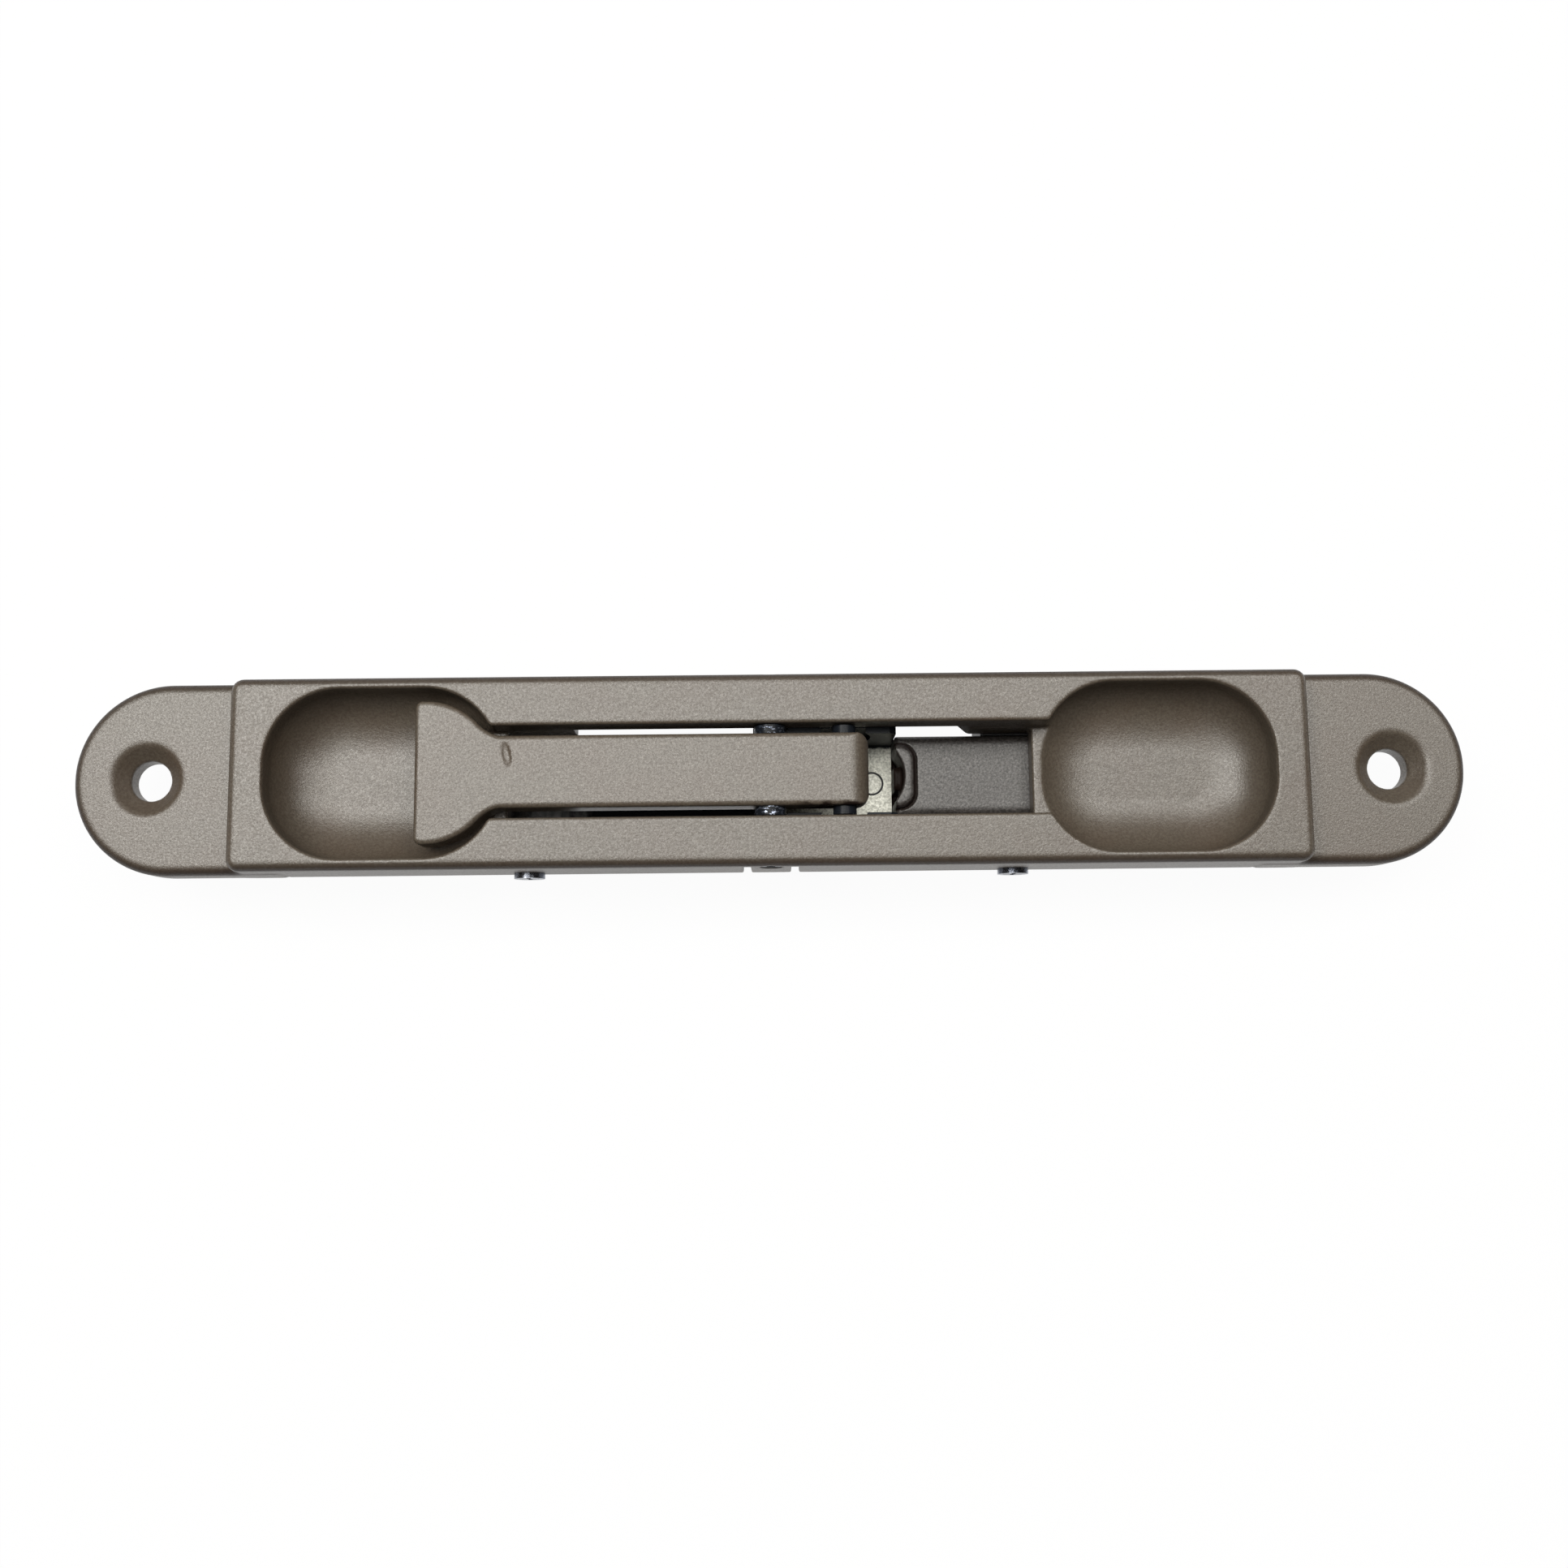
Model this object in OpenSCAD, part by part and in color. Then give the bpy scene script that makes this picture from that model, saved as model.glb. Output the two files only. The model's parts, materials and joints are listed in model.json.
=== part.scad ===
// Flush bolt with a flip lever, for the edge of an aluminium door leaf.
// The lever turns half a turn about a cross pin and drives a bar along the door edge.
// +X runs along the face, +Z points out of the door edge, z = 0 is the underside of the fixing lugs.
// The origin is midway between the two fixing holes.

/* [Face body] */
// Length over the rounded fixing lugs
overall_l = 180; // [170:1:200]
// Width of the fixing lugs
lug_w = 25; // [24:0.5:28]
// Thickness of the fixing lugs
lug_t = 4.8; // [3:0.1:6]
// Length of the raised face
face_l = 137.5; // [134:0.5:140]
// Width of the raised face
face_w = 24.7; // [24:0.1:26]
// Height of the raised face above the lug underside
face_z = 9; // [8.8:0.1:9.4]
// Depth of the side walls below the lug underside
wall_drop = 1.3; // [1:0.1:1.4]
// Rounding of the long edges of the face
edge_r = 1.2; // [0.5:0.1:1.4]

/* [Fixing holes] */
// Distance between the two fixing holes
hole_spacing = 161; // [150:1:166]
// Diameter of the fixing holes
hole_d = 5.2; // [4.2:0.1:5.6]
// Diameter of the countersinks at the top
csk_d = 9.4; // [8:0.1:10.5]

/* [Finger scoops] */
// Length of each finger scoop
scoop_l = 29.6; // [29.2:0.1:30]
// Width of each finger scoop
scoop_w = 21.5; // [21.4:0.1:22]
// Distance of each scoop centre from the middle
scoop_x = 49.35; // [49.2:0.05:49.6]
// Corner radius of the scoops seen from the front
scoop_r = 9.5; // [9.3:0.1:9.8]
// Depth of the scoops
scoop_d = 8; // [7:0.1:8.5]
// Radius where the scoop wall meets its floor
scoop_f = 5.5; // [4:0.1:5.6]

/* [Slot] */
// Width of the slot for the lever
slot_w = 11.6; // [11.5:0.1:11.8]
// Half length of the slot between the scoops
slot_x = 34; // [33.6:0.1:34.2]
// Depth of the lips along the slot
lip_d = 4.5; // [4:0.1:4.6]

/* [Lever] */
// Width of the lever bar
lever_w = 9.3; // [8:0.1:9.3]
// Thickness of the lever
lever_t = 4.8; // [4:0.1:5]
// Length of the lever from the pivot to the thumb edge
thumb_x = 45.1; // [40:0.1:46]
// Radius of the thumb pad
thumb_r = 9.2; // [8:0.1:9.3]
// Length of the short arm past the pivot
arm_x = 12.6; // [12:0.1:12.7]
// Distance between the pivot pin and the crank pin
crank_r = 9.5; // [9:0.1:9.6]
// Diameter of the pivot pin and the crank pin
pin_d = 3; // [2.5:0.1:3]

/* [Drive] */
// Width of the drive bar
bar_w = 12.4; // [11:0.1:12.6]
// Thickness of the drive bar
bar_t = 2; // [1.5:0.1:2.5]
// Width of the carriage that shows in the slot
carriage_w = 10.9; // [9:0.1:11]
// Diameter of the rods that plug into the ends
rod_d = 6; // [5:0.1:6]
// Distance of the side screws from the middle
side_x = 31.5; // [31.3:0.1:31.6]

/* [Hidden] */
$fn = 48;

paint = [0.38, 0.33, 0.29];
steel = [0.70, 0.71, 0.73];
dark_steel = [0.24, 0.24, 0.27];
nylon = [0.13, 0.13, 0.14];
stroke = 2 * crank_r;
pin_z = face_z - 0.1 - lever_t / 2;
lever_top = pin_z + lever_t / 2;
lever_low = pin_z - lever_t / 2;
base_x = 63.5;
wall_t = 1.9;
cavity_x = 25.5;
web_top = pin_z - 13;
web_t = 1;
bar_top = web_top - web_t;
bar_low = bar_top - bar_t;
cheek_in = 5.15;
cheek_t = 1;
cheek_x0 = -2.2;
cheek_x1 = 16.4;
cheek_top = pin_z - 2.1;
car_x0 = 16.4;
car_x1 = 35.5;
car_top = 0.7;
lip_z = face_z - lip_d;
guide_low = bar_low - 1.4;
block_top = -wall_drop - 0.3;
block_z = (block_top + bar_low) / 2;
thumb_cx = -thumb_x + 1.2;

// Rectangle from the origin with its far top corner rounded
module corner_round(w, h, r) {
  square([w - r, h]);
  square([w, h - r]);
  translate([w - r, h - r])
    circle(r);
}

// Cross section with both top corners rounded, centred on x = 0
module arch_section(w, low, high, r) {
  translate([-w / 2, low])
    square([w, high - r - low]);
  translate([-w / 2 + r, low])
    square([w - 2 * r, high - low]);
  translate([-w / 2 + r, high - r])
    circle(r);
  translate([w / 2 - r, high - r])
    circle(r);
}

// Sweeps a section drawn across Y and Z along X, centred on x = 0
module along_x(l) {
  rotate([90, 0, 90])
    translate([0, 0, -l / 2])
      linear_extrude(l)
        children();
}

// Cylinder along Y, centred on y = 0
module rod_y(r, l) {
  rotate([90, 0, 0])
    translate([0, 0, -l / 2])
      cylinder(r = r, h = l);
}

// Cylinder along X starting at the origin
module rod_x(r, l) {
  rotate([0, 90, 0])
    cylinder(r = r, h = l);
}

// Removes a square edge along Y to leave a rounded one of radius r
module end_edge_cutter(r) {
  difference() {
    translate([0, -face_w, 0])
      cube([r + 1, 2 * face_w, r + 1]);
    rod_y(r, 2 * face_w + 1);
  }
}

// Half of the bowl section, from the bowl axis out to radius r
module bowl_section(r) {
  translate([0, -scoop_d + scoop_f])
    square([r, scoop_d - scoop_f + 1]);
  translate([0, -scoop_d])
    square([r - scoop_f, scoop_d + 1]);
  intersection() {
    translate([r - scoop_f, -scoop_d + scoop_f])
      circle(scoop_f);
    translate([0, -scoop_d])
      square([r, scoop_d]);
  }
}

// Full bowl section across a width w
module bowl_span(w) {
  bowl_section(w / 2);
  mirror([1, 0, 0])
    bowl_section(w / 2);
}

// Scoop with rounded corners and a rounded floor, open at the top
module scoop() {
  run_x = scoop_l - 2 * scoop_r;
  run_y = scoop_w - 2 * scoop_r;
  along_x(run_x)
    bowl_span(scoop_w);
  rotate([0, 0, 90])
    along_x(run_y)
      bowl_span(scoop_l);
  for (q = [[1, 1, 0], [-1, 1, 90], [-1, -1, 180], [1, -1, 270]])
    translate([q[0] * run_x / 2, q[1] * run_y / 2, 0])
      rotate([0, 0, q[2]])
        rotate_extrude(angle = 90)
          bowl_section(scoop_r);
}

// One rounded fixing lug, reaching under the end of the face
module lug() {
  end_x = overall_l / 2 - lug_w / 2;
  translate([end_x, 0, 0])
    rotate([0, 0, -90])
      rotate_extrude(angle = 180)
        corner_round(lug_w / 2, lug_t, 1.2);
  translate([(base_x + end_x) / 2, 0, 0])
    along_x(end_x - base_x)
      arch_section(lug_w, 0, lug_t, 1.2);
}

// Countersunk fixing hole
module fixing_hole() {
  translate([0, 0, -1])
    cylinder(d = hole_d, h = lug_t + 2);
  translate([0, 0, lug_t - (csk_d - hole_d) / 2])
    cylinder(d1 = hole_d, d2 = csk_d, h = (csk_d - hole_d) / 2);
  translate([0, 0, lug_t])
    cylinder(d = csk_d, h = 2);
}

// Plan of the space for the mechanism, with a slanted end on the right
module cavity_outline(h) {
  polygon([[-cavity_x, -h], [20.8, -h], [26.2, -slot_w / 2], [26.2, slot_w / 2], [20.8, h],
      [-cavity_x, h]]);
}

// Painted die-cast face with two scoops, the lever slot and the fixing lugs
module body() {
  color(paint)
    difference() {
      union() {
        translate([-base_x, -face_w / 2, -wall_drop])
          cube([2 * base_x, face_w, wall_drop + 1]);
        along_x(face_l)
          arch_section(face_w, 0.5, face_z, edge_r);
        lug();
        mirror([1, 0, 0])
          lug();
      }
      for (i = [0, 1])
        mirror([i, 0, 0]) {
          translate([face_l / 2 - edge_r, 0, face_z - edge_r])
            end_edge_cutter(edge_r);
          translate([scoop_x, 0, face_z])
            scoop();
          translate([hole_spacing / 2, 0, 0])
            fixing_hole();
          translate([slot_x - 1, -slot_w / 2, lever_low - 0.2])
            cube([scoop_x - slot_x - 5, slot_w, 10]);
          for (j = [-1, 1])
            translate([side_x, j * 8.7, 0])
              union() {
                translate([-3.6, -1.6, -wall_drop - 1])
                  cube([7.2, 3.2, wall_drop + 4.2]);
                translate([0, j * 3, 0.8])
                  rod_y(1.55, 4);
              }
          for (j = [-1, 1])
            translate([2.6, j * (face_w / 2 - 1) - 1.5, -wall_drop - 1])
              cube([1, 3, wall_drop + 8.4]);
        }
      translate([-slot_x, -slot_w / 2, -wall_drop - 1])
        cube([2 * slot_x, slot_w, face_z + wall_drop + 2]);
      translate([-car_x1 - 0.4, -slot_w / 2, -wall_drop - 1])
        cube([2 * car_x1 + 0.8, slot_w, wall_drop + 1 + car_top + 0.2]);
      translate([0, 0, -wall_drop - 1])
        linear_extrude(wall_drop + 1 + lip_z)
          cavity_outline(face_w / 2 - wall_t);
      for (j = [-1, 1])
        translate([-cavity_x + 2, j * 8.9 - 1.5, 0])
          cube([2 * cavity_x - 7.5, 3, face_z - 2.2]);
      translate([0, 0, pin_z])
        rod_y(pin_d / 2 + 0.01, face_w + 2);
    }
}

// Outline of the lever seen from the front
module lever_outline() {
  translate([thumb_cx + 6, -lever_w / 2])
    square([arm_x - thumb_cx - 6 - 1.5, lever_w]);
  translate([arm_x - 3, -lever_w / 2 + 1.5])
    square([3, lever_w - 3]);
  for (j = [-1, 1])
    translate([arm_x - 1.5, j * (lever_w / 2 - 1.5)])
      circle(1.5);
  difference() {
    translate([thumb_cx, 0])
      circle(thumb_r);
    translate([-thumb_x - 10, -15])
      square([10, 30]);
  }
}

// Painted lever with a thumb pad at the long end and a crank pin bore in the short arm
module lever() {
  color(paint)
    difference() {
      translate([0, 0, lever_low])
        linear_extrude(lever_t)
          lever_outline();
      translate([0, 0, pin_z])
        rod_y(pin_d / 2 + 0.04, lever_w + 2);
      translate([crank_r, 0, pin_z])
        rod_y(pin_d / 2 + 0.01, lever_w + 2);
      translate([-33, -lever_w / 2 + 1.5, lever_low - 1])
        cube([27, lever_w - 3, 3.2]);
    }
}

// Cross pin that the lever turns on, held in the side walls of the body
module pivot_pin() {
  color(steel)
    translate([0, 0, pin_z])
      difference() {
        rod_y(pin_d / 2, face_w - 0.3);
        for (j = [-1, 1])
          translate([0, j * (face_w / 2 - 0.15), 0])
            rod_y(0.6, 0.8);
      }
}

// Two thin washers that keep the lever central in the slot
module pivot_washers() {
  color(steel)
    for (j = [-1, 1])
      translate([0, j * (lever_w / 2 + slot_w / 2) / 2, pin_z])
        difference() {
          rod_y(2, slot_w / 2 - lever_w / 2 - 0.08);
          rod_y(pin_d / 2 + 0.03, 3);
        }
}

// Pin pressed through the short arm, whose ends push the yoke
module crank_pin() {
  color(steel)
    translate([crank_r, 0, pin_z])
      rod_y(pin_d / 2, slot_w - 0.2);
}

// Place of the crank pin relative to the yoke after the lever has turned by a
function pin_u(a) = crank_r * (cos(a) - 1 + a / 90);
function pin_v(a) = -crank_r * sin(a);

// Outward direction of the pin path, for the slot edge
function slope_u(a) = crank_r * (-sin(a) + 2 / PI);
function slope_v(a) = -crank_r * cos(a);
function edge_point(a, c) =
  let (n = norm([slope_u(a), slope_v(a)]))
  [pin_u(a) - c * slope_v(a) / n, pin_v(a) + c * slope_u(a) / n];

// Almond-shaped blind slot that the crank pin runs in, open at the top
module yoke_slot() {
  c = pin_d / 2 + 0.2;
  right = [for (a = [10:8:82]) edge_point(a, c)];
  left = [for (i = [len(right) - 1:-1:0]) [-right[i][0], right[i][1]]];
  polygon(concat([[3.1, 3]], right, left, [[-3.1, 3]]));
  translate([0, -crank_r])
    circle(c);
}

// Bent steel yoke: two cheeks beside the lever joined by a web below its swing
module yoke() {
  color(steel) {
    for (j = [0, 1])
      mirror([0, j, 0])
        translate([0, cheek_in + cheek_t, 0])
          rotate([90, 0, 0])
            difference() {
              linear_extrude(cheek_t)
                difference() {
                  translate([cheek_x0, bar_top])
                    square([cheek_x1 - cheek_x0, cheek_top - bar_top]);
                  translate([cheek_x0, cheek_top])
                    rotate(45)
                      square(1.6, center = true);
                  translate([cheek_x1, cheek_top])
                    rotate(45)
                      square(1.2, center = true);
                }
              translate([crank_r, pin_z, 0.3])
                linear_extrude(cheek_t)
                  yoke_slot();
            }
    difference() {
      translate([cheek_x0, -cheek_in - cheek_t / 2, bar_top])
        cube([cheek_x1 - cheek_x0, 2 * cheek_in + cheek_t, web_t]);
      for (x = [5.4, 13.7])
        translate([x, 0, bar_top - 1])
          cylinder(r = 1.62, h = web_t + 2);
    }
  }
}

// Flush rivets that hold the yoke to the drive bar
module yoke_rivets() {
  color(steel)
    for (x = [5.4, 13.7])
      translate([x, 0, bar_low])
        cylinder(r = 1.6, h = bar_t + web_t);
}

// Painted carriage on the bar, with a crescent rim where it faces the lever
module carriage() {
  color(paint)
    difference() {
      union() {
        translate([car_x0, 0, bar_top])
          linear_extrude(car_top - bar_top)
            translate([0, -carriage_w / 2])
              square([car_x1 - car_x0, carriage_w]);
        translate([0, 0, car_top - 1])
          linear_extrude(2) {
            translate([car_x0, -4.3])
              square([1.3, 8.6]);
            translate([car_x0, -3])
              square([2.6, 6]);
            for (j = [-1, 1])
              translate([car_x0 + 1.3, j * 3])
                circle(1.3);
          }
      }
      difference() {
        translate([12.6, 0, bar_top + 1])
          cylinder(r = 4.95, h = 12);
        translate([16.5, 0, bar_top])
          cylinder(r = 1.6, h = 6);
      }
      for (j = [0, 1])
        mirror([0, j, 0])
          translate([0, carriage_w / 2 - 0.9, car_top - 0.9])
            rotate([90, 0, 90])
              translate([0, 0, 10])
                linear_extrude(30)
                  difference() {
                    square(2);
                    circle(0.9);
                  }
      for (x = [21, 28.4])
        translate([x, 0, bar_top - 1])
          cylinder(r = 1.26, h = 6);
    }
}

// Countersunk screws that hold the carriage on the drive bar
module carriage_screws() {
  color(dark_steel)
    for (x = [21, 28.4])
      translate([x, 0, bar_low])
        csk_screw(1.25, 2.35, 6.5);
}

// Countersunk screw standing on its head, with a hex socket
module csk_screw(r, head_r, l) {
  difference() {
    union() {
      cylinder(r = r, h = l);
      cylinder(r1 = head_r, r2 = r, h = head_r - r);
    }
    translate([0, 0, -1])
      cylinder(r = 0.9, h = 1.9, $fn = 6);
  }
}

// Steel strip that carries the yoke, the carriage and the rod blocks
module drive_bar() {
  color(steel)
    difference() {
      translate([-50, -bar_w / 2, bar_low])
        cube([118, bar_w, bar_t]);
      for (x = [5.4, 13.7])
        translate([x, 0, bar_low - 1])
          cylinder(r = 1.62, h = bar_t + 2);
      for (x = [-45.5, 21, 28.4, 63.5])
        translate([x, 0, bar_low])
          union() {
            translate([0, 0, -1])
              cylinder(r = 1.3, h = bar_t + 2);
            translate([0, 0, -0.01])
              cylinder(r1 = 2.4, r2 = 1.3, h = 1.1);
          }
    }
}

// Moulded guide that hangs under the body, holds the bar and lets the carriage pass
module guide() {
  difference() {
    union() {
      translate([-3.5, -10.2, guide_low])
        cube([7, 20.4, -wall_drop - 0.02 - guide_low]);
      for (j = [-1, 1])
        translate([-3.5, j * 8.7 - 1.5, -wall_drop - 0.5])
          cube([7, 3, wall_drop + 3.4]);
    }
    translate([-5, -bar_w / 2 - 0.05, bar_low - 0.05])
      cube([10, bar_w + 0.1, bar_t + 0.1]);
    translate([-5, -carriage_w / 2 - 0.15, bar_low])
      cube([10, carriage_w + 0.3, 20]);
    translate([-2.6, -3.6, bar_low - 0.7])
      cube([5.2, 7.2, 1.2]);
    for (j = [-1, 1])
      translate([0, j * 9, 0.8])
        rod_y(1.26, 6);
  }
}

// Guide on the left, under the first pair of side screws
module guide_left() {
  color(nylon)
    translate([-side_x, 0, 0])
      guide();
}

// Guide on the right, under the second pair of side screws
module guide_right() {
  color(nylon)
    translate([side_x, 0, 0])
      guide();
}

// Four side screws with low heads that fix the guides to the side walls
module side_screws() {
  color(dark_steel)
    for (i = [-1, 1])
      for (j = [0, 1])
        mirror([0, j, 0])
          translate([i * side_x, -face_w / 2 - 0.7, 0.8])
            rotate([-90, 0, 0])
              difference() {
                union() {
                  cylinder(r = 2, h = 0.68);
                  translate([0, 0, 0.3])
                    cylinder(r = 1.25, h = 4.7);
                }
                translate([0, 0, -0.5])
                  for (q = [0, 90])
                    rotate([0, 0, q])
                      translate([-1.3, -0.25, 0])
                        cube([2.6, 0.5, 0.9]);
              }
}

// Bowed leaf spring that rubs on the underside of the bar
module friction_spring() {
  bow_r = 18;
  translate([0, 0, bar_low - 0.03 - bow_r])
    rotate([0, 0, 90])
      rotate([90, 0, 0])
        translate([0, 0, -2.3])
          linear_extrude(4.6)
            intersection() {
              difference() {
                circle(bow_r);
                circle(bow_r - 0.25);
              }
              translate([-3.3, bow_r - 2])
                square([6.6, 4]);
            }
}

// Leaf spring in the left guide
module friction_spring_left() {
  color(steel)
    translate([-side_x, 0, 0])
      friction_spring();
}

// Leaf spring in the right guide
module friction_spring_right() {
  color(steel)
    translate([side_x, 0, 0])
      friction_spring();
}

// Block at the end of the bar with a socket for the rod, drawn for the right end
module rod_block() {
  difference() {
    translate([58, -bar_w / 2, bar_low])
      cube([16, bar_w, block_top - bar_low]);
    translate([57, -bar_w, bar_low - 1])
      cube([11.02, 2 * bar_w, bar_t + 1.01]);
    translate([68.5, 0, block_z])
      rod_x(rod_d / 2 + 0.05, 6);
    translate([63.5, 0, bar_low])
      cylinder(r = 1.26, h = 6.7);
    translate([71.5, 4.5, block_z])
      rod_y(1.5, 6);
  }
}

// Rod block at the right end
module rod_block_right() {
  color(paint)
    rod_block();
}

// Rod block at the left end
module rod_block_left() {
  color(paint)
    translate([18, 0, 0])
      mirror([1, 0, 0])
        rod_block();
}

// Screws that fix the rod blocks to the bar
module rod_block_screws() {
  color(dark_steel)
    for (x = [-45.5, 63.5])
      translate([x, 0, bar_low])
        csk_screw(1.25, 2.35, 6.5);
}

// Grub screws that clamp the rods in their sockets
module rod_set_screws() {
  color(dark_steel)
    for (x = [-53.5, 71.5])
      translate([x, bar_w / 2 - 1.4, block_z])
        rotate([90, 0, 0])
          difference() {
            translate([0, 0, -1.2])
              cylinder(r = 1.48, h = 2.6);
            translate([0, 0, -2])
              cylinder(r = 0.75, h = 2.2, $fn = 6);
          }
}

// Rubber pad that the carriage meets when the bar is at its right end
module stop_buffer_right() {
  color(nylon)
    translate([74.4, 0, 0])
      translate([0, 0, -0.6])
        union() {
          translate([0, -5, 0])
            cube([1.6, 10, 0.58]);
          translate([0, -3, -1.75])
            cube([1.6, 6, 1.95]);
        }
}

// Rubber pad that the left rod block meets when the bar is at its left end
module stop_buffer_left() {
  color(nylon)
    mirror([1, 0, 0])
      translate([75.4, 0, 0])
        translate([0, 0, -0.6])
          union() {
            translate([0, -5, 0])
              cube([1.6, 10, 0.58]);
            translate([0, -3, -1.75])
              cube([1.6, 6, 1.95]);
          }
}

body();
lever();
pivot_pin();
pivot_washers();
crank_pin();
yoke();
yoke_rivets();
carriage();
carriage_screws();
drive_bar();
guide_left();
guide_right();
side_screws();
friction_spring_left();
friction_spring_right();
rod_block_left();
rod_block_right();
rod_block_screws();
rod_set_screws();
stop_buffer_left();
stop_buffer_right();
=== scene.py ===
"""Flush bolt with a flip lever: looks, floor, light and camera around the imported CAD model."""

import math

import bpy
import numpy as np
import openvdb as vdb
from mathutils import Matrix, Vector
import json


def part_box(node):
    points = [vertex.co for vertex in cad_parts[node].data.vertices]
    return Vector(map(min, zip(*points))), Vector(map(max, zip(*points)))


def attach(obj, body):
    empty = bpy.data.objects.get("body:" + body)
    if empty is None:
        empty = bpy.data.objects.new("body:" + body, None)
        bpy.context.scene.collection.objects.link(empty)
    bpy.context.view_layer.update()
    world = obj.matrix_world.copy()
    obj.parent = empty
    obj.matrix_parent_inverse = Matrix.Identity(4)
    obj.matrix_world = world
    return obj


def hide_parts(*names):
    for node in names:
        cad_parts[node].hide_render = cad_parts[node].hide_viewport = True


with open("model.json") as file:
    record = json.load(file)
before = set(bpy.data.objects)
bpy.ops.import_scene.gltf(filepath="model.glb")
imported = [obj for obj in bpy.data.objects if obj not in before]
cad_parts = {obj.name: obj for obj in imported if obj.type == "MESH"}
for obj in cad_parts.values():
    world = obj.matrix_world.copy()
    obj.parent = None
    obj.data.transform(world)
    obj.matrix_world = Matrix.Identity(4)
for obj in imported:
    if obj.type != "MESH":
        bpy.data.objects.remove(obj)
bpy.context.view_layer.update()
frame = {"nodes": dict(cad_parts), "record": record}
MM = 0.001


# ------------------------------------------------------------ boxes of CAD nodes, in millimetres
def box_mm(node):
    """Low and high corner of a CAD node."""
    low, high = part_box(node)
    return np.array(low) / MM, np.array(high) / MM


body_lo, body_hi = box_mm("body")
lever_lo, lever_hi = box_mm("lever")
car_lo, car_hi = box_mm("carriage")
pin_lo, pin_hi = box_mm("pivot_pin")
crank_lo, crank_hi = box_mm("crank_pin")
holes = next(m for m in frame["record"]["mounts"] if m["name"] == "fixing_holes")
hole_r = holes["dims"]["hole_r_mm"]
hole_x = holes["dims"]["spacing_x_mm"] / 2
pin_z = (pin_lo[2] + pin_hi[2]) / 2
pin_r = (pin_hi[2] - pin_lo[2]) / 2
crank_x = (crank_lo[0] + crank_hi[0]) / 2
face_z = body_hi[2]
half_l = body_hi[0]
half_w = body_hi[1]

# ------------------------------------------------------------ other sizes, in millimetres
far = 40
face_half_l = 68.75
face_half_w = 12.35
face_corner = 1.6
face_edge = 1.2
skirt_end = 63.5
lug_top = 4.8
lug_edge = 1.3
countersink_depth = 2.0

scoop_x = 49.35
scoop_half_l = 14.8
scoop_half_w = 10.75
scoop_corner = 9.5
scoop_depth = 8
scoop_steepness = 1.45
scoop_floor_r = 7.6

slot_end = 34
slot_half_w = 5.8
slot_lip = 5.1
slot_top_end = 39
under_end = 35.9
under_top = 0.9
cavity_left = -25.5
cavity_right = 26.2
cavity_half_w = 10.45
cavity_roof = 4.5
slant_x = 20.8
channel_left = -23.5
channel_right = 20
channel_inner = 7.4
channel_outer = 10.4
channel_roof = 2.2

slit_x = (2.6, 3.6)
slit_depth = 1.35
slit_roof = 1.9
recess_x = (27.9, 35.1)
recess_y = (7.1, 10.3)
recess_top = 3.2
side_screw_x = 31.5
side_screw_z = 0.8
side_hole_r = 1.55
side_hole_start = 9

lever_half_w = 4.65
lever_waist_x = -38
pad_r = 9.2
pad_x = lever_lo[0] + 1.2
nose_r = 2.6
lever_edge = 0.65
waist_r = 1.6
pocket_x = (-33, -6)
pocket_half_w = 3.15
pocket_depth = 2.2
mark_x = -33.4
mark_y = 2.2

hollow_x = 12.6
hollow_r = 4.95
boss_x = 16.5
boss_r = 1.6
rim_x = car_lo[0] + 0.2
rim_half_l = 2.4
rim_half_w = 4.2
rim_corner = 2.1
rim_height = 1.0
carriage_edge = 1.4
carriage_screw_x = (21.0, 28.4)
carriage_screw_r = 1.26
carriage_screw_depth = 5
rivet_xs = (13.7, 5.4)


# ------------------------------------------------------------ distance fields
def grid(low, high, pitch):
    """Coordinates of a padded grid around a box, as three broadcastable arrays, and its corner."""
    pad = 3 * pitch
    axes = [np.arange(a - pad, b + pad + pitch, pitch, dtype=np.float32) for a, b in zip(low, high)]
    corner = np.array([a[0] for a in axes])
    return axes[0][:, None, None], axes[1][None, :, None], axes[2][None, None, :], corner


def join(a, b, r=0.0):
    """Union, with a fillet of radius r."""
    if r <= 0:
        return np.minimum(a, b)
    u = np.maximum(r - a, 0)
    v = np.maximum(r - b, 0)
    return np.maximum(r, np.minimum(a, b)) - np.sqrt(u * u + v * v)


def both(a, b, r=0.0):
    """Intersection, with a rounded edge of radius r."""
    if r <= 0:
        return np.maximum(a, b)
    u = np.maximum(r + a, 0)
    v = np.maximum(r + b, 0)
    return np.minimum(-r, np.maximum(a, b)) + np.sqrt(u * u + v * v)


def cut(a, b, r=0.0):
    """a without b, with a rounded edge of radius r."""
    return both(a, -b, r)


def rect(x, y, cx, cy, hx, hy, r=0.0):
    """Flat rectangle with rounded corners."""
    qx = np.abs(x - cx) - hx + r
    qy = np.abs(y - cy) - hy + r
    outside = np.sqrt(np.maximum(qx, 0) ** 2 + np.maximum(qy, 0) ** 2)
    return outside + np.minimum(np.maximum(qx, qy), 0) - r


def disc(x, y, cx, cy, r):
    """Flat disc."""
    return np.sqrt((x - cx) ** 2 + (y - cy) ** 2) - r


def block(x, y, z, low, high, r=0.0):
    """Box between two corners, with rounded edges."""
    c = [(a + b) / 2 for a, b in zip(low, high)]
    h = [(b - a) / 2 - r for a, b in zip(low, high)]
    q = [np.abs(p - m) - s for p, m, s in zip((x, y, z), c, h)]
    outside = np.sqrt(sum(np.maximum(v, 0) ** 2 for v in q))
    return outside + np.minimum(np.maximum(np.maximum(q[0], q[1]), q[2]), 0) - r


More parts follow.
